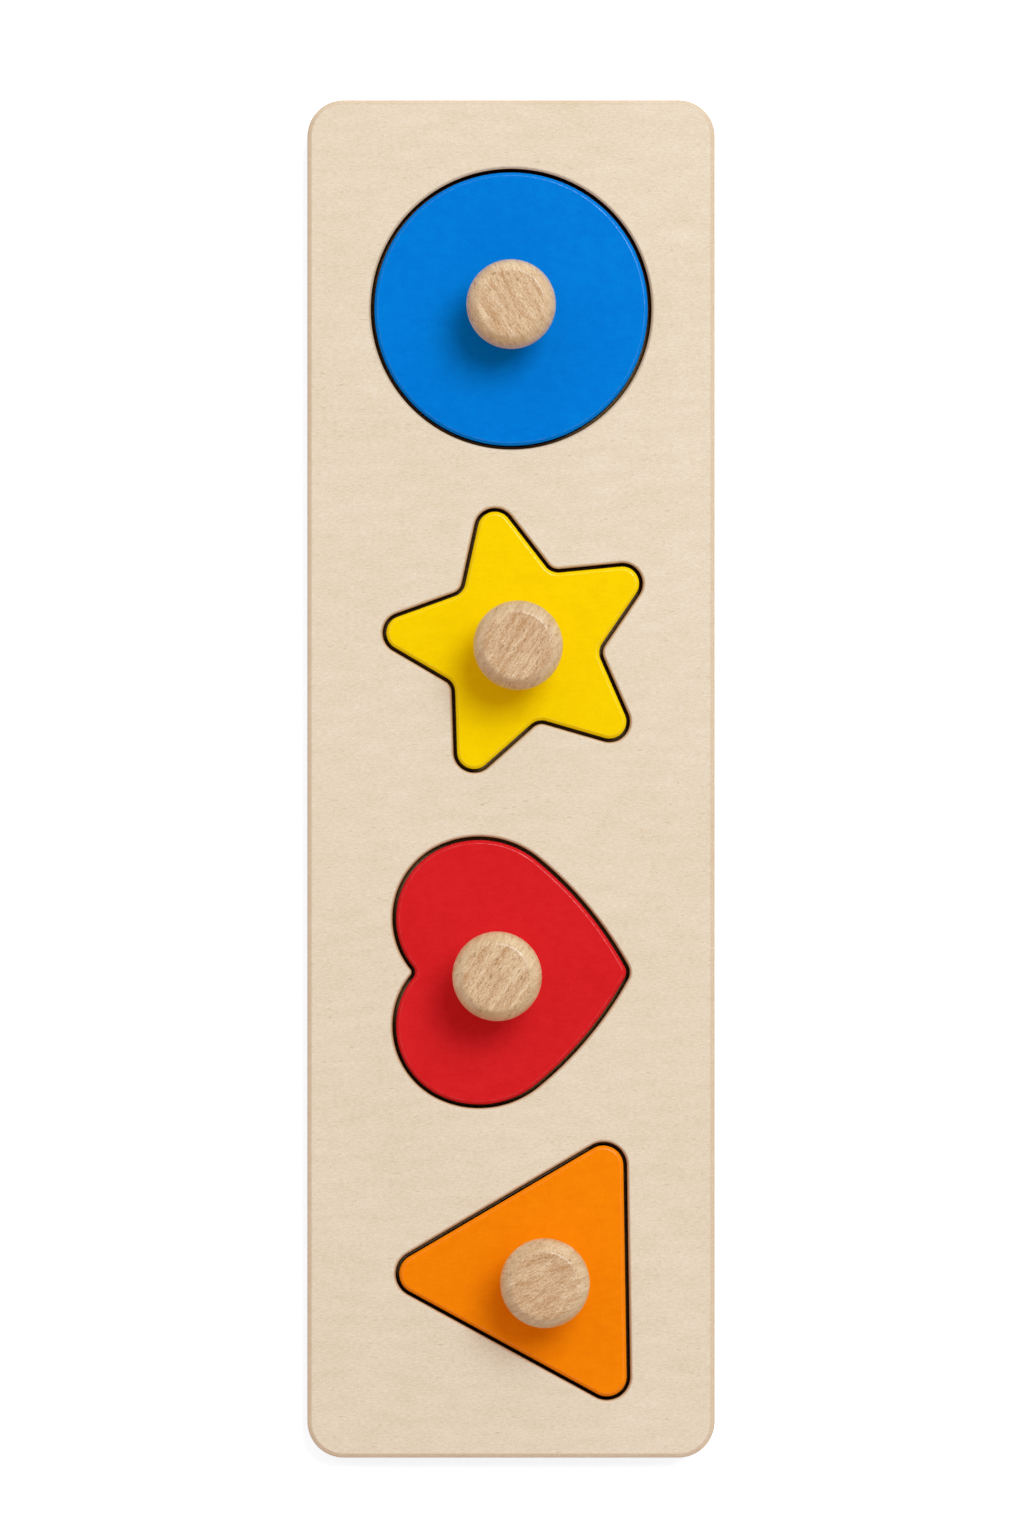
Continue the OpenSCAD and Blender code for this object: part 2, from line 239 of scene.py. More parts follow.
class ScrewSettings(bpy.types.PropertyGroup):
    """Sizes and colour of the wood screws"""

    shank_radius: length("Shank radius", "Radius of shank and thread crest", 1.75)
    root_radius: length("Root radius", "Radius of the thread at its root", 1.15)
    pitch: length("Pitch", "Pitch of the thread", 1.4)
    head_radius: length("Head radius", "Radius of the countersunk head", 3.5)
    head_rim: length("Head rim", "Height of the head's straight rim", 0.35)
    sunk: length("Sunk", "Depth of the head in the piece", 0.3)
    play: length("Play", "Clearance of the screw in its holes", 0.06)
    point: length("Point", "Length of the pointed end", 3)
    cross_width: length("Cross width", "Width of an arm of the cross recess", 0.9)
    cross_radius: length("Cross radius", "Radius of the cross recess", 2.1)
    cross_depth: length("Cross depth", "Depth of the cross recess", 1.6)
    steel: colour("Steel", "Zinc-plated steel", 196, 198, 200)


class StageSettings(bpy.types.PropertyGroup):
    """Camera, floor and light"""

    camera_height: length("Camera height", "Height of the camera over the floor", 1200)
    view_height: length("View height", "Height of the view at the board's top", 339.3)
    view_x: length("View centre X", "Middle of the view along the board", 2.4, -1.0)
    view_y: length("View centre Y", "Middle of the view across the board", -0.2, -1.0)
    key_light: light("Key light", "Light of the lamp on a level surface", 0.41, 0.51, 0.545)
    key_distance: length("Key distance", "Distance of the lamp from the board", 1700)
    key_size: length("Key size", "Width of the lamp", 850)
    key_height: angle("Key height", "Height of the lamp over the horizon", 60)
    key_turn: angle("Key turn", "Direction of the lamp from the board's long axis", -37)
    lean: light("Lean", "How much brighter one side of the studio is", 0.34, 0.46, 0.58)
    lean_turn: angle("Lean turn", "Direction of the studio's bright side", -15)


# Outlines: lists of arcs that straight lines join. Angles that rise make a corner, and angles
# that fall make a notch.

def heading(degrees):
    return Vector((math.cos(math.radians(degrees)), math.sin(math.radians(degrees))))


def level_heading(turn):
    return Vector((math.cos(turn), math.sin(turn), 0.0))


def direction_of(step):
    return math.degrees(math.atan2(step.y, step.x))


def rounded(corners):
    """Arcs that round an outline's corners, each given by its place and radius."""
    arcs = []
    for i, (corner, radius) in enumerate(corners):
        way_in = direction_of(corner - corners[i - 1][0])
        way_out = direction_of(corners[(i + 1) % len(corners)][0] - corner)
        bend = (way_out - way_in + 180) % 360 - 180
        first = way_in - 90 if bend > 0 else way_in + 90
        reach = radius / math.cos(math.radians(bend / 2))
        arcs.append((corner - reach * heading(first + bend / 2), radius, first, first + bend))
    return arcs


def turned(point, degrees):
    along = heading(degrees)
    return Vector((
        point.x * along.x - point.y * along.y, point.x * along.y + point.y * along.x
    ))


def rim_of(arcs):
    """Points of an outline, each with the direction in which the outline grows there."""
    rim = []
    for centre, radius, first, last in arcs:
        sweep = last - first
        fine = 2 * math.degrees(math.acos(1 - ARC_TOLERANCE / radius))
        steps = math.ceil(abs(sweep) / min(ARC_STEP, fine))
        side = 1 if sweep > 0 else -1
        for i in range(steps + 1):
            out = heading(first + sweep * i / steps)
            rim.append((centre + radius * out, side * out))
    return [
        (point, out) for i, (point, out) in enumerate(rim)
        if (point - rim[i - 1][0]).length > SAME_POINT
    ]


def box_middle(rim):
    xs = [point.x for point, _ in rim]
    ys = [point.y for point, _ in rim]
    return Vector((min(xs) + max(xs), min(ys) + max(ys))) / 2


def seated(arcs, degrees, node):
    """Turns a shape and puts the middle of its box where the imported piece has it."""
    arcs = [
        (turned(centre, degrees), radius, first + degrees, last + degrees)
        for centre, radius, first, last in arcs
    ]
    move = node_middle(node).xy - box_middle(rim_of(arcs))
    return rim_of([(centre + move, *rest) for centre, *rest in arcs])


def round_rim(centre, radius):
    return rim_of([(centre, radius, 0, 360)])


def star_arcs(sizes):
    points = 5
    corners = []
    for i in range(points):
        corners += [
            (sizes.star_radius * heading(360 / points * i), sizes.star_tip),
            (sizes.star_notch * heading(360 / points * (i + 0.5)), sizes.star_hollow),
        ]
    return rounded(corners)


def triangle_arcs(sizes):
    half = sizes.triangle_base / 2
    corners = [(sizes.triangle_height, 0), (0, half), (0, -half)]
    return rounded([(Vector(corner), sizes.triangle_corner) for corner in corners])


def heart_arcs(sizes):
    """Heart along X with its point towards +X."""
    lobe_end = math.degrees(sizes.lobe_end)
    shoulder_end = math.degrees(sizes.shoulder_end)
    lobe = Vector((0, sizes.lobe_spacing / 2))
    shoulder = lobe - (sizes.shoulder_radius - sizes.lobe_radius) * heading(lobe_end)
    flank = shoulder - (sizes.flank_radius - sizes.shoulder_radius) * heading(shoulder_end)
    tip_reach = sizes.flank_radius - sizes.heart_tip
    tip_turn = math.degrees(math.asin(-flank.y / tip_reach))
    tip = Vector((flank.x + tip_reach * heading(tip_turn).x, 0))
    notch_reach = sizes.lobe_radius + sizes.heart_notch
    notch_turn = math.degrees(math.asin(lobe.y / notch_reach))
    notch = Vector((lobe.x - notch_reach * heading(notch_turn).x, 0))
    upper = [
        (flank, sizes.flank_radius, tip_turn, shoulder_end),
        (shoulder, sizes.shoulder_radius, shoulder_end, lobe_end),
        (lobe, sizes.lobe_radius, lobe_end, 180 + notch_turn),
    ]
    lower = [
        (centre * Vector((1, -1)), radius, 360 - last, 360 - first)
        for centre, radius, first, last in reversed(upper)
    ]
    return [
        (tip, sizes.heart_tip, -tip_turn, tip_turn), *upper,
        (notch, sizes.heart_notch, notch_turn, -notch_turn), *lower,
    ]


def piece_rims(sizes):
    """Outlines of the four pieces, by shape."""
    rims = {"circle": round_rim(node_middle("circle_insert").xy, sizes.circle_radius)}
    for shape, arcs in (("star", star_arcs), ("heart", heart_arcs), ("triangle", triangle_arcs)):
        turn = math.degrees(getattr(sizes, shape + "_turn"))
        rims[shape] = seated(arcs(sizes), turn, shape + "_insert")
    return rims


def board_rim(corner_radius):
    half = BOARD_SIZE / 2
    corners = [(Vector((x * half.x, y * half.y)), corner_radius) for x, y in CORNERS]
    return rim_of(rounded(corners))


# Shells: closed meshes made of rings of one outline, and of flat faces between such rings

class Shell:
    """Points, faces and marks of one piece: burn, and on a recess floor painted shade."""

    def __init__(self):
        self.points = []
        self.marks = []
        self.faces = []

    def wall(self, rim, levels, inward=False):
        """Rings at levels of growth, height and mark of burn and painted shade, joined from first
        to last.
        """
        rings = []
        for grow, height, *mark in levels:
            start = len(self.points)
            places = [point + grow * out for point, out in rim]
            self.points += [(place.x, place.y, height) for place in places]
            self.marks += (mark or [0.0]) * len(rim)
            rings.append(range(start, len(self.points)))
        for lower, upper in zip(rings, rings[1:]):
            for i in range(len(lower)):
                j = (i + 1) % len(lower)
                face = (lower[i], lower[j], upper[j], upper[i])
                self.faces.append(face[::-1] if inward else face)
        return rings[0], rings[-1]

    def flat(self, rings, up):
        """Fills a level face between an outer ring and the rings of its holes."""
        work = bmesh.new()
        edges = []
        numbers = {}
        for ring in rings:
            corners = [work.verts.new(self.points[i]) for i in ring]
            numbers.update(zip(corners, ring))
            edges += [work.edges.new((a, b)) for a, b in zip(corners, corners[1:] + corners[:1])]
        bmesh.ops.triangle_fill(
            work, use_beauty=True, use_dissolve=False, edges=edges, normal=(0, 0, 1)
        )
        for face in work.faces:
            face.normal_update()
            loop = [numbers[corner] for corner in face.verts]
            self.faces.append(loop if (face.normal.z > 0) == up else loop[::-1])
        work.free()

    def mesh(self, name):
        mesh = bpy.data.meshes.new(name)
        mesh.from_pydata(self.points, [], self.faces)
        marks = mesh.attributes.new("burn_and_shade", "FLOAT", "POINT")
        marks.data.foreach_set("value", self.marks)
        return mesh

    def finish(self, name, material, *facts):
        mesh = self.mesh(name)
        mesh.materials.append(material)
        finish_piece(name, mesh, *facts)


def lower_round(base, radius):
    """Growth and height up a rounded edge that rises from a lower face."""
    turns = [math.pi / 2 * i / ROUND_STEPS for i in range(ROUND_STEPS + 1)]
    return [(-radius * (1 - math.sin(t)), base + radius * (1 - math.cos(t))) for t in turns]


def bevel(top, width, slope, inner, outer):
    """Growth and height up a bevel that ends at an upper face, with both its corners rounded."""
    sine, cosine = math.sin(slope), math.cos(slope)
    run = width - inner * sine - outer * (1 - sine)
    drop = outer * cosine + run * sine / cosine + inner * (1 - cosine)
    levels = []
    for i in range(ROUND_STEPS + 1):
        t = math.pi / 2 + (slope - math.pi / 2) * i / ROUND_STEPS
        levels.append((outer * (math.sin(t) - 1), top - drop + outer * math.cos(t)))
    for i in range(ROUND_STEPS + 1):
        t = slope * (1 - i / ROUND_STEPS)
        levels.append((inner * math.sin(t) - width, top - inner * (1 - math.cos(t))))
    return levels


def marked(levels, first, last):
    """Adds burn marks that run evenly from first to last along the levels."""
    return [
        (grow, height, first + (last - first) * i / (len(levels) - 1))
        for i, (grow, height) in enumerate(levels)
    ]


def placed(name, data):
    """Puts a new object into the scene."""
    item = bpy.data.objects.new(name, data)
    bpy.context.scene.collection.objects.link(item)
    return item


def finish_piece(name, mesh, body, slot, replaced):
    """Makes a mesh a finished piece that rides on a body."""
    mesh.shade_smooth()
    mesh.set_sharp_from_angle(angle=SHARP_ANGLE)
    piece = placed(name, mesh)
    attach(piece, body)
    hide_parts(replaced)


# Nodes

class Nodes:
    """Adds and links the nodes of one tree."""

    def __init__(self, tree):
        self.tree = tree

    def add(self, kind, inputs=None, **settings):
        node = self.tree.nodes.new(kind)
        for name, value in settings.items():
            setattr(node, name, value)
        for key, value in (inputs or {}).items():
            socket = node.inputs[key]
            if isinstance(value, bpy.types.NodeSocket):
                self.tree.links.new(value, socket)
            else:
                socket.default_value = (*value, 1.0) if socket.type == "RGBA" else value
        return node

    def out(self, kind, inputs=None, **settings):
        """Adds a node and gives its first output."""
        return self.add(kind, inputs, **settings).outputs[0]

    def math(self, operation, *values):
        return self.out("ShaderNodeMath", dict(enumerate(values)), operation=operation)

    def times(self, value, factor):
        return self.math("MULTIPLY", value, factor)

    def minus(self, value, part):
        return self.math("SUBTRACT", value, part)

    def sum_of(self, *terms):
        total = terms[0]
        for term in terms[1:]:
            total = self.math("ADD", total, term)
        return total

    def weighted(self, *pairs):
        """Sum of values, each with its weight."""
        return self.sum_of(*(self.times(value, weight) for value, weight in pairs))

    def vector(self, operation, *values):
        node = self.add("ShaderNodeVectorMath", dict(enumerate(values)), operation=operation)
        return node.outputs["Value" if operation in ("LENGTH", "DOT_PRODUCT") else "Vector"]

    def scaled(self, vector, factors):
        return self.vector("MULTIPLY", vector, factors)

    def parts(self, vector):
        return self.add("ShaderNodeSeparateXYZ", {0: vector}).outputs

    def coordinates(self, kind):
        return self.add("ShaderNodeTexCoord").outputs[kind]

    def noise(self, vector, scale, detail=2.0, roughness=0.5):
        return self.out("ShaderNodeTexNoise", {
            "Vector": vector, "Scale": scale, "Detail": detail, "Roughness": roughness,
        })

    def span(self, value, low, high, to_low=0.0, to_high=1.0):
        """Takes a value from one span to another, and holds it inside."""
        ends = {"From Min": low, "From Max": high, "To Min": to_low, "To Max": to_high}
        return self.out("ShaderNodeMapRange", {"Value": value, **ends})

    def blend(self, factor, first, second):
        """Colour between two colours. The node has its colour sockets at 6, 7 and 2."""
        inputs = {0: factor, 6: first, 7: second}
        return self.add("ShaderNodeMix", inputs, data_type="RGBA").outputs[2]

    def relief(self, height, strength, distance):
        inputs = {"Height": height, "Strength": strength, "Distance": distance}
        return self.out("ShaderNodeBump", inputs)

    def seen(self):
        """One where the camera sees a surface, straight or in metal or glass, else zero."""
        path = self.add("ShaderNodeLightPath").outputs
        kinds = ("Camera", "Glossy", "Transmission")
        return self.sum_of(*(path[f"Is {kind} Ray"] for kind in kinds))


def emptied(owner):
    """Clears the nodes of a material or a world, to be made anew."""
    owner.use_nodes = True
    owner.node_tree.nodes.clear()
    return Nodes(owner.node_tree)


def new_material(name):
    """Empty material, with its nodes and its object coordinates."""
    material = bpy.data.materials.new(name)
    nodes = emptied(material)
    return material, nodes, nodes.coordinates("Object")


def end_material(nodes, values):
    shader = nodes.out("ShaderNodeBsdfPrincipled", values)
    nodes.add("ShaderNodeOutputMaterial", {"Surface": shader})


# Materials. The scale of a noise is in waves per metre, and where its place is scaled first,
# a small factor draws it out along that axis.

def solid_plywood(nodes, place, board, base, ply):
    """Colour, relief and mark of burn and painted shade of a solid of plies whose grain runs
    along Y and X.
    """
    layer = nodes.math("DIVIDE", nodes.minus(nodes.parts(place)["Z"], base), ply)
    odd = nodes.math("PINGPONG", nodes.math("FLOOR", layer), 1.0)
    # The node has its vector sockets at 4, 5 and 1
    grain = nodes.add("ShaderNodeMix", {
        0: odd,
        4: nodes.scaled(place, (1, 0.28, 1)),
        5: nodes.scaled(place, (0.28, 1, 1)),
    }, data_type="VECTOR").outputs[1]

    fibre = nodes.noise(grain, 2900, 3.0, 0.6)
    figure = nodes.noise(grain, 420, 3.0)
    cloud = nodes.noise(place, 34)
    grit = nodes.noise(place, 4200, 2.0, 0.6)
    tone = nodes.weighted((fibre, 0.9), (figure, 0.42), (cloud, 0.25), (grit, 1.1))
    face = nodes.blend(nodes.span(tone, 1.01, 1.66), board.deep_wood, board.pale_wood)
    fleck = nodes.noise(nodes.scaled(place, (1, 0.16, 1)), 2600, 1.0)
    face = nodes.blend(nodes.span(fleck, 0.72, 0.78, 0.0, 0.35), face, board.end_wood)

    nx, ny, nz = nodes.parts(nodes.coordinates("Normal"))
    ends = nodes.weighted(
        (nodes.math("POWER", ny, 2.0), nodes.minus(1.0, odd)),
        (nodes.math("POWER", nx, 2.0), odd),
    )
    glue = nodes.math("ABSOLUTE", nodes.minus(nodes.math("FRACT", layer), 0.5))
    side = nodes.minus(1.0, nodes.math("POWER", nz, 2.0))
    glue_line = nodes.times(nodes.span(glue, 0.455, 0.485, 0.0, 0.45), side)
    wood = nodes.blend(nodes.times(ends, 0.8), face, board.end_wood)
    wood = nodes.blend(glue_line, wood, board.char)

    # The wood is toasted and charred where marked, in uneven streaks; on a recess floor the mark
    # is painted shade of the gap
    mark = nodes.add("ShaderNodeAttribute", attribute_name="burn_and_shade").outputs["Fac"]
    streak = nodes.noise(nodes.scaled(place, (1, 1, 0.15)), 1400)
    uneven = nodes.times(nodes.minus(streak, 0.5), 0.5)
    edge = nodes.times(mark, nodes.math("ADD", 1.0, uneven))
    wood = nodes.blend(nodes.span(edge, 0.0, 0.5), wood, board.toast)
    wood = nodes.blend(nodes.span(edge, 0.5, 0.9), wood, board.char)
    return wood, nodes.weighted((fibre, 0.6), (grit, 0.4)), mark


def plywood_material(name, board, base, ply):
    material, nodes, place = new_material(name)
    wood, height, _ = solid_plywood(nodes, place, board, base, ply)
    end_material(nodes, {
        "Base Color": wood,
        "Roughness": nodes.span(height, 0.3, 0.7, 0.72, 0.6),
        "Specular IOR Level": 0.04,
        "Normal": nodes.relief(height, 0.35, 0.05 * MM),
    })
    return material


def paint_material(name, board, paint):
    """Satin paint over plywood: the grain shows faintly, and the sides are left charred."""
    material, nodes, place = new_material(name)
    wood, _, mark = solid_plywood(nodes, place, board, FLOOR_OF_RECESS, board.ply)
    wander = nodes.times(nodes.noise(place, 500), PAINT_WANDER)
    line = nodes.math("ADD", nodes.parts(place)["Z"], wander)
    low = PIECE_TOP - PAINT_SIDE
    coat = nodes.span(line, low, low + PAINT_FADE)

    peel = nodes.noise(place, 2900, 2.0, 0.6)
    grain = nodes.noise(nodes.scaled(place, (1, 0.3, 1)), 1500)
    mottle = nodes.noise(place, 330)
    cloud = nodes.noise(place, 60, 1.0)
    depth = nodes.sum_of(nodes.times(peel, 2.0), grain, mottle, cloud)
    thick = [channel * 0.935 for channel in paint]
    thin = [channel ** 0.93 for channel in paint]
    tone = nodes.blend(nodes.span(depth, 2.05, 2.95), thick, thin)
    # The arris is polished where it is rubbed
    rubbed = nodes.span(nodes.noise(place, 1300), 0.36, 0.6, 0.15, 0.8)
    gloss = nodes.times(
        nodes.times(nodes.span(mark, 0.02, 0.1), rubbed), nodes.span(mark, 0.4, 0.3)
    )
    satin, raw = nodes.span(peel, 0.3, 0.7, 0.24, 0.34), 0.68
    end_material(nodes, {
        "Base Color": nodes.blend(coat, wood, tone),
        "Roughness": nodes.math("ADD", nodes.times(coat, nodes.minus(satin, raw)), raw),
        "Specular IOR Level": 0.02,
        "Coat Weight": gloss,
        "Coat Roughness": 0.25,
        "Normal": nodes.relief(nodes.weighted((peel, 0.6), (grain, 0.4)), 0.3, 0.04 * MM),
    })
    return material


def beech_material(name, knob, centre, grain_degrees, plank_shift, paleness):
    """End-grain beech: rays across the face, faint growth rings, pores, fibres down the sides."""
    material, nodes, place = new_material(name)
    local = nodes.out("ShaderNodeMapping", {
        "Vector": nodes.vector("SUBTRACT", place, (centre.x, centre.y, 0.0)),
        "Rotation": (0.0, 0.0, -math.radians(grain_degrees)),
    })
    off_pith = nodes.vector("ADD", nodes.scaled(local, (1, 1, 0.02)), PITH)
    from_pith = nodes.vector("LENGTH", off_pith)
    local = nodes.vector("ADD", local, (plank_shift, plank_shift, 0.0))
    rays = nodes.noise(nodes.scaled(local, (0.28, 1, 0.1)), 2500, 3.0, 0.6)
    strands = nodes.noise(nodes.scaled(local, (0.12, 1, 0.05)), 900)
    grit = nodes.noise(nodes.scaled(local, (0.7, 1, 0.4)), 3600, 2.0, 0.6)
    patch = nodes.noise(local, 180)
    wandering = nodes.math("ADD", from_pith, nodes.times(patch, RING_WANDER))
    ring = nodes.math("FRACT", nodes.math("DIVIDE", wandering, RING_WIDTH))
    tone = nodes.sum_of(
        nodes.weighted((rays, 1.3), (strands, 0.8), (grit, 1.5), (patch, 0.5)),
        nodes.span(ring, 0.0, 1.0, 0.08, -0.08),
    )
    upright = nodes.parts(nodes.coordinates("Normal"))["Z"]
    side = nodes.span(upright, 0.97, 0.75)
    # The arris round the face is polished by wear
    arris = nodes.times(nodes.span(upright, 0.999, 0.99), nodes.span(upright, 0.8, 0.9))
    shade = nodes.span(tone, 1.53 - paleness, 2.57 - paleness)
    face = nodes.blend(shade, knob.deep_wood, knob.pale_wood)
    wood = nodes.blend(side, face, nodes.blend(shade, knob.deep_side, knob.pale_side))
    pore = nodes.noise(nodes.scaled(local, (0.4, 1, 0.2)), 1900, 1.0)
    pore = nodes.span(pore, 0.66, 0.74, 0.0, 0.65)
    height = nodes.weighted((rays, 0.5), (grit, 0.5), (pore, -0.6))
    rough = nodes.span(grit, 0.3, 0.7, 0.62, 0.5)
    end_material(nodes, {
        "Base Color": nodes.blend(pore, wood, [channel * 0.6 for channel in knob.deep_wood]),
        "Roughness": nodes.minus(rough, nodes.times(side, 0.25)),
        "Specular IOR Level": 0.3,
        "Coat Weight": nodes.times(arris, nodes.span(grit, 0.35, 0.6, 0.4, 1.0)),
        "Coat Roughness": 0.28,
        "Normal": nodes.relief(height, 0.85, 0.08 * MM),
    })
    return material


def steel_material(name, tone):
    material, nodes, place = new_material(name)
    fine = nodes.noise(nodes.scaled(place, (1, 1, 6)), 2500, 3.0, 0.6)
    dull = nodes.span(nodes.noise(place, 500), 0.35, 0.7)
    end_material(nodes, {
        "Base Color": nodes.blend(dull, [channel * 0.8 for channel in tone], tone),
        "Metallic": 1.0,
        "Roughness": nodes.span(fine, 0.3, 0.7, 0.26, 0.44),
        "Normal": nodes.relief(fine, 0.3, 0.02 * MM),
    })
    return material


# Turned pieces and screws, made by geometry nodes

def new_tree(name, *lengths):
    """Empty geometry tree with named inputs for all that a piece is made from."""
    tree = bpy.data.node_groups.new(name, "GeometryNodeTree")
    inputs = [("Geometry", "Geometry"), ("Segments", "Int")]
    inputs += [(socket, "Float") for socket in lengths]
    for socket, kind in [*inputs, ("Place", "Vector"), ("Material", "Material")]:
        tree.interface.new_socket(socket, in_out="INPUT", socket_type="NodeSocket" + kind)
    tree.interface.new_socket("Geometry", in_out="OUTPUT", socket_type="NodeSocketGeometry")
    nodes = Nodes(tree)
    return tree, nodes, nodes.add("NodeGroupInput").outputs


def end_tree(nodes, geometry, given):
    """Puts the geometry in its place and gives it its material."""
    for kind, values in (
        ("Transform", {"Translation": given["Place"]}),
        ("RealizeInstances", {}),
        ("SetMaterial", {"Material": given["Material"]}),
    ):
        geometry = nodes.out("GeometryNode" + kind, {"Geometry": geometry, **values})
    nodes.add("NodeGroupOutput", {"Geometry": geometry})


def swept(nodes, path, section, **more):
    """Carries a section along a path, without turning it over, and merges what meets."""
    path = nodes.out("GeometryNodeSetCurveNormal", {"Curve": path}, mode="Z_UP")
    inputs = {"Curve": path, "Profile Curve": section, **more}
    body = nodes.out("GeometryNodeCurveToMesh", inputs)
    return nodes.out("GeometryNodeMergeByDistance", {"Geometry": body, "Distance": WELD})


def turned_tree():
    """Carries a section, radius along X and height along Y, round the Z axis."""
    tree, nodes, given = new_tree("Turned knob")
    section = nodes.out("GeometryNodeMeshToCurve", {"Mesh": given["Geometry"]})
    section = nodes.out("GeometryNodeTransform", {
        "Geometry": section, "Translation": (-TURNING_RADIUS, 0, 0), "Scale": (1, -1, 1),
    })
    path = nodes.out("GeometryNodeCurvePrimitiveCircle", {
        "Resolution": given["Segments"], "Radius": TURNING_RADIUS,
    })
    end_tree(nodes, swept(nodes, path, section), given)
    return tree


def thread_ridge(nodes, given):
    """Three-sided ridge wound round the core, which fades with the point."""
    run = nodes.minus(given["End"], given["Start"])
    turns = nodes.math("DIVIDE", run, given["Pitch"])
    count = nodes.math("CEIL", nodes.times(turns, given["Segments"]))
    line = nodes.out("GeometryNodeMeshLine", {"Count": count})
    path = nodes.out("GeometryNodeMeshToCurve", {"Mesh": line})
    turn = nodes.math("DIVIDE", nodes.out("GeometryNodeInputIndex"), given["Segments"])
    height = nodes.math("ADD", given["Start"], nodes.times(turn, given["Pitch"]))
    left = nodes.math("DIVIDE", nodes.minus(given["Length"], height), given["Point"])
    fade = nodes.math("MINIMUM", left, 1.0)
    core = nodes.times(given["Root radius"], fade)
    round_axis = nodes.times(turn, math.tau)
    x, y = (nodes.times(core, nodes.math(kind, round_axis)) for kind in ("COSINE", "SINE"))
    spot = nodes.out("ShaderNodeCombineXYZ", {0: x, 1: y, 2: height})
    path = nodes.out("GeometryNodeSetPosition", {"Geometry": path, "Position": spot})
    ridge = nodes.minus(given["Shank radius"], given["Root radius"])
    half = nodes.times(given["Pitch"], 0.25)
    corners = ((-THREAD_FOOT, nodes.times(half, -1.0)), (ridge, 0.0), (-THREAD_FOOT, half))
    below, crest, above = (nodes.out("ShaderNodeCombineXYZ", {0: x, 1: y}) for x, y in corners)
    section = nodes.out("GeometryNodeCurvePrimitiveQuadrilateral", {
        "Point 1": below, "Point 2": crest, "Point 3": above, "Point 4": above,
    }, mode="POINTS")
    return swept(nodes, path, section, **{"Scale": fade, "Fill Caps": True})


def screw_tree():
    tree, nodes, given = new_tree(
        "Wood screw", "Length", "Start", "End", "Point", "Pitch", "Shank radius", "Root radius"
    )
    whole = nodes.add("GeometryNodeJoinGeometry")
    for geometry in (given["Geometry"], thread_ridge(nodes, given)):
        tree.links.new(geometry, whole.inputs[0])
    end_tree(nodes, whole.outputs[0], given)
    return tree


def section_mesh(name, section):
    """Open line of a half section, each point a radius and a height."""
    mesh = bpy.data.meshes.new(name)
    points = [(radius, height, 0.0) for radius, height in section]
    mesh.from_pydata(points, [(i, i + 1) for i in range(len(points) - 1)], [])
    return mesh


def grow_piece(name, start, tree, values, *facts):
    """Finished piece, a plain mesh that a tree makes from a starting mesh."""
    carrier = placed(name + "_start", start)
    former = carrier.modifiers.new("Form", "NODES")
    former.node_group = tree
    for item in tree.interface.items_tree:
        if item.in_out == "INPUT" and item.name in values:
            former[item.identifier] = values[item.name]
    graph = bpy.context.evaluated_depsgraph_get()
    mesh = bpy.data.meshes.new_from_object(carrier.evaluated_get(graph), depsgraph=graph)
    mesh.name = name
    carrier.modifiers.remove(former)
    bpy.data.objects.remove(carrier)
    finish_piece(name, mesh, *facts)


def arc_points(centre, radius, first, last, step=5.0):
    steps = max(2, math.ceil(abs(last - first) / step))
    return [
        tuple(centre + radius * heading(first + (last - first) * i / steps))
        for i in range(steps + 1)
    ]


def knob_section(knob):
    """Half section of a knob: pilot hole, foot, drawn-in waist, head and flat face."""
    top = KNOB_HEIGHT
    side = knob.side_radius
    under = knob.under_radius
    head = Vector((knob.head_radius - side, 0.0))
    head.y = top - math.sqrt(side ** 2 - (knob.face_radius - head.x) ** 2)
    swell = Vector((knob.head_radius - under, head.y))
    hollow_x = knob.waist_radius + knob.hollow_radius
    reach = under + knob.hollow_radius
    hollow = Vector((hollow_x, swell.y - math.sqrt(reach ** 2 - (hollow_x - swell.x) ** 2)))
    tangent = direction_of(hollow - swell)
    worn = Vector((0.0, top - knob.arris))
    worn.x = head.x + math.sqrt((side - knob.arris) ** 2 - (worn.y - head.y) ** 2)
    worn_start = direction_of(worn - head)
    edge = knob.foot_edge
    foot = knob.foot_radius
    foot_top = hollow.y - math.sqrt(knob.hollow_radius ** 2 - (hollow_x - foot) ** 2)
    foot_turn = direction_of(Vector((foot, foot_top)) - hollow)
    return [
        (0.0, knob.pilot_depth), (knob.pilot_radius, knob.pilot_depth), (knob.pilot_radius, 0.0),
        *arc_points(Vector((foot - edge, edge)), edge, -90, 0, 15),
        *arc_points(hollow, knob.hollow_radius, foot_turn % 360, (tangent + 180) % 360),
        *arc_points(swell, under, tangent, 0, 6)[1:],
        *arc_points(head, side, 0, worn_start, 4)[1:],
        *arc_points(worn, knob.arris, worn_start, 90)[1:],
        (worn.x - FACE_MARGIN, top), (0.0, top),
    ]


def cross_rim(screw):
    """Cross whose arms reach further as it grows, while their width stays."""
    half = screw.cross_width / 2
    rim = []
    for quarter in range(4):
        along, across = heading(90 * quarter), heading(90 * quarter + 90)
        reach, side = screw.cross_radius * along, half * across
        rim += [(reach - side, along), (reach + side, along)]
        rim.append((half * (along + across), Vector((0, 0))))
    return rim


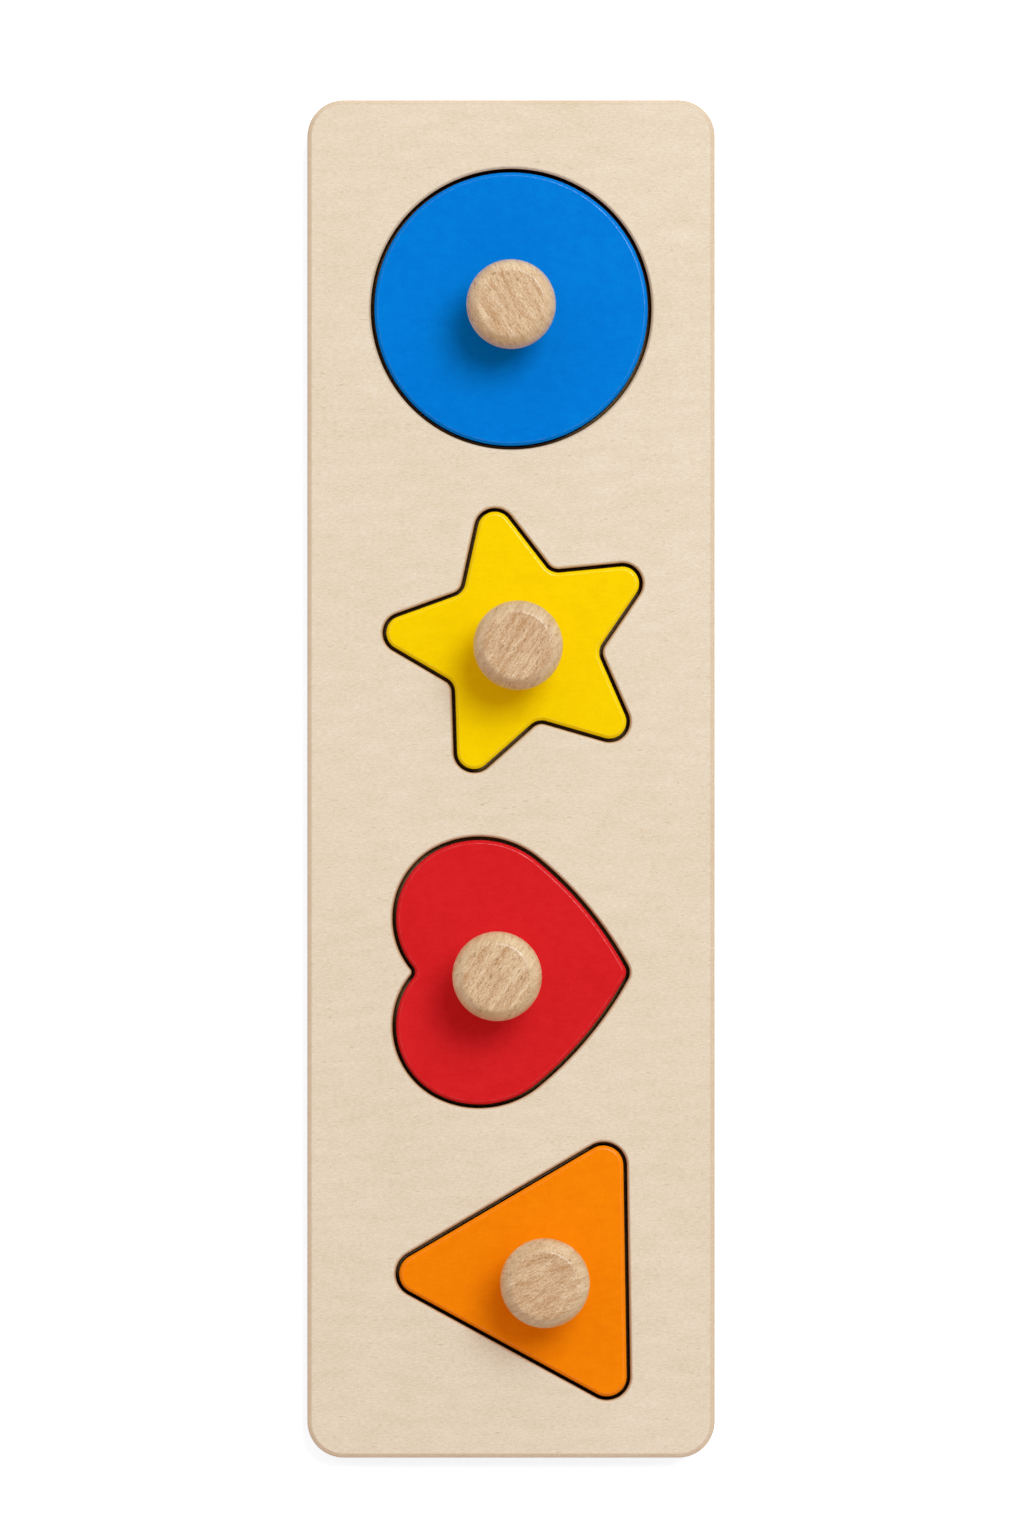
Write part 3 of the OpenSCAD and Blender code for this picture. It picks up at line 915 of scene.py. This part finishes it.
def screw_body(screw, plain_end):
    """Turned body of a screw without its thread, with the cross recess in its head."""
    shell = Shell()
    head, shank, root = screw.head_radius, screw.shank_radius, screw.root_radius
    turns = [heading(360 * i / SCREW_SEGMENTS) for i in range(SCREW_SEGMENTS)]
    low, tip = shell.wall([(Vector((0, 0)), out) for out in turns], [
        (head - HEAD_BREAK, 0.0), (head, HEAD_BREAK), (head, screw.head_rim),
        (shank, screw.head_rim + head - shank), (shank, plain_end),
        (root, plain_end + RUN_OUT), (root, SCREW_LENGTH - screw.point),
        (TIP_RADIUS, SCREW_LENGTH),
    ])
    shorter = DEEP_ARM + screw.cross_width / 2 - screw.cross_radius
    levels = [(0.0, 0.0), (shorter, screw.cross_depth)]
    mouth, bottom = shell.wall(cross_rim(screw), levels, inward=True)
    shell.flat([low, mouth], up=False)
    shell.flat([bottom], up=False)
    shell.flat([tip], up=True)
    return shell.mesh("screw_body")


# Operators, one for each kind of piece

class PUZZLE_OT_boards(bpy.types.Operator):
    """Make the frame board with its four recesses, and the backing board under it"""

    bl_idname = "puzzle.boards"
    bl_label = "Boards"

    def execute(self, context):
        board = context.scene.puzzle_board
        rims = piece_rims(context.scene.puzzle_pieces)
        outer = board_rim(board.corner_radius)
        self.make_frame(board, outer, rims)
        self.make_backing(board, outer, rims)
        return {"FINISHED"}

    def make_frame(self, board, outer, rims):
        shell = Shell()
        rim = bevel(BOARD_TOP, board.rim_width, board.rim_slope, *RIM_CORNERS)
        low, high = shell.wall(outer, [
            (0.0, FLOOR_OF_RECESS),
            *marked(rim, *RIM_BURN),
            (-board.rim_width - FACE_MARGIN, BOARD_TOP),
        ])
        lower_rings, upper_rings = [low], [high]
        mouth = bevel(BOARD_TOP, board.mouth_width, board.mouth_slope, *MOUTH_CORNERS)
        corner, ease = mouth[:ROUND_STEPS + 1], mouth[ROUND_STEPS + 1:]
        fringe = [end + (start - end) * FRINGE_REACH for end, start in zip(corner[-1], ease[0])]
        for shape, rim in rims.items():
            toast = SANDED if shape == "circle" else 1.0
            burns = marked(corner, *WALL_BURN) + [(*fringe, FRINGE_BURN * toast)]
            burns += marked(ease, EASE_BURN * toast, 0.0)
            low, high = shell.wall(rim, [
                (board.gap, FLOOR_OF_RECESS, 1.0),
                *((board.gap - grow, height, mark) for grow, height, mark in burns),
                (board.gap + board.mouth_width + FACE_MARGIN, BOARD_TOP),
            ], inward=True)
            lower_rings.append(low)
            upper_rings.append(high)
        shell.flat(lower_rings, up=False)
        shell.flat(upper_rings, up=True)
        material = plywood_material("Plywood face", board, FLOOR_OF_RECESS, board.ply)
        shell.finish("plywood_frame", material, "board", "board_plywood", "frame_board")

    def make_backing(self, board, outer, rims):
        shell = Shell()
        low, high = shell.wall(outer, [
            (-board.base_rim_radius - FACE_MARGIN, 0.0),
            *lower_round(0.0, board.base_rim_radius),
            (0.0, FLOOR_OF_RECESS),
        ])
        shell.flat([low], up=False)
        holes = []
        for rim in rims.values():
            # A recess floor is clean under the piece and darkens towards its wall: painted shade
            # of the narrow gap, with some scorch
            inner, edge = shell.wall(rim, [
                (-2.0 * MM, FLOOR_OF_RECESS),
                (-0.2 * MM, FLOOR_OF_RECESS, 0.12),
                (board.gap, FLOOR_OF_RECESS, 0.85),
            ], inward=True)
            shell.flat([inner], up=True)
            holes.append(edge)
        shell.flat([high] + holes, up=True)
        # Three plies
        material = plywood_material("Plywood backing", board, 0.0, FLOOR_OF_RECESS / 3)
        shell.finish("plywood_backing", material, "board", "backing_plywood", "backing_board")


class PUZZLE_OT_pieces(bpy.types.Operator):
    """Make the painted circle, star, heart and triangle"""

    bl_idname = "puzzle.pieces"
    bl_label = "Painted pieces"

    def execute(self, context):
        scene = context.scene
        sizes = scene.puzzle_pieces
        paints = {"circle": "blue", "star": "yellow", "heart": "red", "triangle": "orange"}
        for shape, rim in piece_rims(sizes).items():
            tone, paint = paints[shape], getattr(sizes, shape + "_paint")
            self.shape(shape, rim, sizes, scene.puzzle_screws).finish(
                "painted_" + shape,
                paint_material(tone.title() + " paint", scene.puzzle_board, paint),
                shape + "_piece", tone + "_paint", shape + "_insert",
            )
        return {"FINISHED"}

    def shape(self, shape, rim, sizes, screw):
        """Painted slab with a countersunk hole for its screw."""
        shell = Shell()
        base, top = FLOOR_OF_RECESS + LYING_GAP, PIECE_TOP
        edge = bevel(top, sizes.edge_width, sizes.edge_slope, *EDGE_CORNERS)
        low, high = shell.wall(rim, [
            (-sizes.base_radius - UNDER_BURN, base),
            (-sizes.base_radius - FACE_MARGIN, base, 0.6),
            *marked(lower_round(base, sizes.base_radius), 0.8, 1.0),
            *marked(edge, 1.0, 0.0),
            (-sizes.edge_width - FACE_MARGIN, top),
        ])

        hole = round_rim(node_middle(shape + "_knob").xy, screw.shank_radius + screw.play)
        seat = screw.sunk + screw.head_rim
        widening = screw.head_radius - screw.shank_radius
        hole_low, hole_high = shell.wall(hole, [
            (widening, base), (widening, base + seat), (0.0, base + seat + widening), (0.0, top),
        ], inward=True)
        shell.flat([low, hole_low], up=False)
        shell.flat([high, hole_high], up=True)
        return shell


class PUZZLE_OT_knobs(bpy.types.Operator):
    """Turn the four beech knobs"""

    bl_idname = "puzzle.knobs"
    bl_label = "Knobs"

    def execute(self, context):
        knob = context.scene.puzzle_knobs
        section = knob_section(knob)
        tree = turned_tree()
        # Direction of the grain on the face, in degrees from the board's long axis, place of the
        # knob in the plank, and how much paler the wood is there
        grains = {
            "circle": (33, 0.3, -0.13), "star": (-32, 1.1, -0.16),
            "heart": (-32, 1.9, -0.11), "triangle": (-63, 2.7, -0.15),
        }
        for shape in SHAPES:
            centre, foot = node_middle(shape + "_knob"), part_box(shape + "_knob")[0].z
            name = "turned_knob_" + shape
            grow_piece(name, section_mesh(name, section), tree, {
                "Segments": KNOB_SEGMENTS,
                "Place": (centre.x, centre.y, foot),
                "Material": beech_material("Beech " + shape, knob, centre, *grains[shape]),
            }, shape + "_piece", "knob_beech", shape + "_knob")
        return {"FINISHED"}


class PUZZLE_OT_screws(bpy.types.Operator):
    """Make the four wood screws that hold the knobs"""

    bl_idname = "puzzle.screws"
    bl_label = "Screws"

    def execute(self, context):
        screw = context.scene.puzzle_screws
        plain_end = PIECE_TOP - FLOOR_OF_RECESS - screw.sunk
        tree = screw_tree()
        material = steel_material("Zinc-plated steel", screw.steel)
        for shape in SHAPES:
            centre, foot = node_middle(shape + "_knob"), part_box(shape + "_screw")[0].z
            body = "circle_lifter" if shape == "circle" else shape + "_piece"
            grow_piece("wood_screw_" + shape, screw_body(screw, plain_end), tree, {
                "Segments": SCREW_SEGMENTS,
                "Length": SCREW_LENGTH,
                "Start": plain_end + screw.pitch / 2,
                "End": SCREW_LENGTH - screw.point / 2,
                "Point": screw.point, "Pitch": screw.pitch,
                "Shank radius": screw.shank_radius, "Root radius": screw.root_radius,
                "Place": (centre.x, centre.y, foot), "Material": material,
            }, body, "screw_steel", shape + "_screw")
        return {"FINISHED"}


class PUZZLE_OT_stage(bpy.types.Operator):
    """Set up the white floor, the soft light and the camera straight above"""

    bl_idname = "puzzle.stage"
    bl_label = "Stage"

    def execute(self, context):
        stage = context.scene.puzzle_stage
        self.add_floor()
        self.add_light(context.scene, stage)
        self.add_camera(context.scene, stage)
        context.scene.view_settings.view_transform = "Standard"
        return {"FINISHED"}

    def add_floor(self):
        mesh = bpy.data.meshes.new("floor")
        corners = [(x * FLOOR_REACH, y * FLOOR_REACH, 0) for x, y in CORNERS]
        mesh.from_pydata(corners, [], [(0, 1, 2, 3)])
        material = bpy.data.materials.new("White floor")
        nodes = emptied(material)
        seen = nodes.seen()
        # The camera sees paper whose shadow is grey, although the light in it is reddish
        grey, seen_grey, lit = 0.86, (1.0, 0.84, 0.76), 1.465
        tone = nodes.blend(seen, (grey, grey, grey), seen_grey)
        paper = nodes.out("ShaderNodeBsdfDiffuse", {"Color": tone})
        more = [lit - channel for channel in seen_grey]
        glow = nodes.out("ShaderNodeEmission", {"Color": more, "Strength": seen})
        both = nodes.out("ShaderNodeAddShader", {0: paper, 1: glow})
        nodes.add("ShaderNodeOutputMaterial", {"Surface": both})
        mesh.materials.append(material)
        placed("floor", mesh)

    def add_light(self, scene, stage):
        height = stage.key_height
        towards = level_heading(stage.key_turn) * math.cos(height)
        towards.z = math.sin(height)
        lamp = bpy.data.lights.new("key", "AREA")
        lamp.shape = "DISK"
        lamp.size = stage.key_size
        # Power at which a level white surface gets its part of the light from the lamp
        strongest = max(stage.key_light)
        lamp.color = [channel / strongest for channel in stage.key_light]
        lamp.energy = math.pi ** 2 * strongest * stage.key_distance ** 2 / math.sin(height)
        key = placed("key", lamp)
        key.location = towards * stage.key_distance
        key.rotation_euler = towards.to_track_quat("Z", "Y").to_euler()

        scene.world = bpy.data.worlds.new("Studio")
        nodes = emptied(scene.world)
        towards_sky = nodes.coordinates("Generated")
        # The dome is darker straight above, where the camera hangs, and brighter on one side
        cap = nodes.span(nodes.parts(towards_sky)["Z"], 0.86, 0.96, 1.13, 0.4)
        side = nodes.vector("DOT_PRODUCT", towards_sky, level_heading(stage.lean_turn))
        dome = nodes.scaled(nodes.vector("MULTIPLY_ADD", side, stage.lean, (1.0, 1.0, 1.0)), cap)
        fill = nodes.scaled(dome, [1.0 - channel for channel in stage.key_light])
        tone = nodes.blend(nodes.seen(), fill, (1.0, 1.0, 1.0))
        sky = nodes.out("ShaderNodeBackground", {"Color": tone, "Strength": 1.0})
        nodes.add("ShaderNodeOutputWorld", {"Surface": sky})

    def add_camera(self, scene, stage):
        lens = bpy.data.cameras.new("camera")
        lens.sensor_width = 36.0
        lens.clip_end = 20.0
        distance = stage.camera_height - BOARD_TOP
        lens.lens = lens.sensor_width * distance / stage.view_height
        camera = placed("camera", lens)
        camera.location = (stage.view_x, stage.view_y, stage.camera_height)
        camera.rotation_euler = (0.0, 0.0, -math.pi / 2)
        scene.camera = camera


class PUZZLE_PT_sidebar(bpy.types.Panel):
    """Buttons and settings of the puzzle"""

    bl_label = "Knob puzzle"
    bl_idname = "PUZZLE_PT_sidebar"
    bl_space_type = "VIEW_3D"
    bl_region_type = "UI"
    bl_category = "Puzzle"

    def draw(self, context):
        for operator, name, _ in STEPS:
            box = self.layout.box()
            box.operator(operator.bl_idname)
            settings = getattr(context.scene, name)
            for key in settings.bl_rna.properties.keys():
                if key not in ("rna_type", "name"):
                    box.prop(settings, key)


STEPS = (
    (PUZZLE_OT_boards, "puzzle_board", BoardSettings),
    (PUZZLE_OT_pieces, "puzzle_pieces", PieceSettings),
    (PUZZLE_OT_knobs, "puzzle_knobs", KnobSettings),
    (PUZZLE_OT_screws, "puzzle_screws", ScrewSettings),
    (PUZZLE_OT_stage, "puzzle_stage", StageSettings),
)
OPERATORS, NAMES, GROUPS = zip(*STEPS)
CLASSES = (*GROUPS, *OPERATORS, PUZZLE_PT_sidebar)


def register():
    for item in CLASSES:
        bpy.utils.register_class(item)
    for name, group in zip(NAMES, GROUPS):
        setattr(bpy.types.Scene, name, PointerProperty(type=group))


def unregister():
    for name in NAMES:
        delattr(bpy.types.Scene, name)
    for item in reversed(CLASSES):
        bpy.utils.unregister_class(item)


def main():
    register()
    bpy.ops.puzzle.boards()
    bpy.ops.puzzle.pieces()
    bpy.ops.puzzle.knobs()
    bpy.ops.puzzle.screws()
    bpy.ops.puzzle.stage()


if __name__ == "__main__":
    main()
